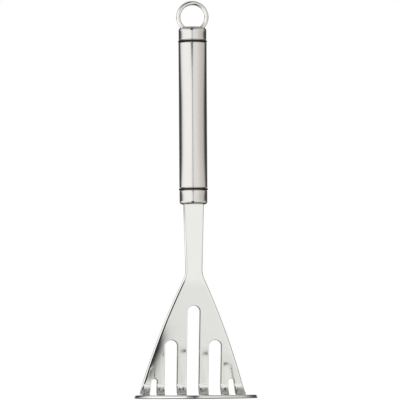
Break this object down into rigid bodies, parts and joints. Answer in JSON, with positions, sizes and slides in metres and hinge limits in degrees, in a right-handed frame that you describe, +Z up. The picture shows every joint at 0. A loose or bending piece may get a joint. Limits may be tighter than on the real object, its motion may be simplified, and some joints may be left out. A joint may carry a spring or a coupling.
{
  "type": "potato masher",
  "caption": "Potato masher with a round slotted sheet-steel foot, a fan-shaped neck, a tubular steel handle with rubber rings and a wire hanging loop.",
  "frame": {"origin": "middle of the foot's resting box, on the surface that the masher stands on", "axes": "+Z up along the handle, +X across the blade, -Y the side that the foot reaches out to"},
  "size_m": [0.082, 0.0706, 0.2644],
  "materials": {
    "blade_steel": "polished stainless sheet, nearly a mirror, with fine wipe marks",
    "cap_steel": "satin stainless, brushed round the cap",
    "tube_steel": "satin stainless, brushed lengthwise",
    "wire_steel": "bright drawn stainless wire",
    "ring_rubber": "matte black rubber",
    "plug_nylon": "natural moulded nylon, hidden inside the handle"
  },
  "bodies": {
    "root": {"blade": "blade_steel", "lower_cap": "cap_steel", "upper_cap": "cap_steel", "handle_tube": "tube_steel", "lower_o_ring": "ring_rubber", "upper_o_ring": "ring_rubber", "hanging_loop": "wire_steel", "plug_front_half": "plug_nylon", "plug_rear_half": "plug_nylon", "tang_pin": "wire_steel"}
  },
  "joints": []
}
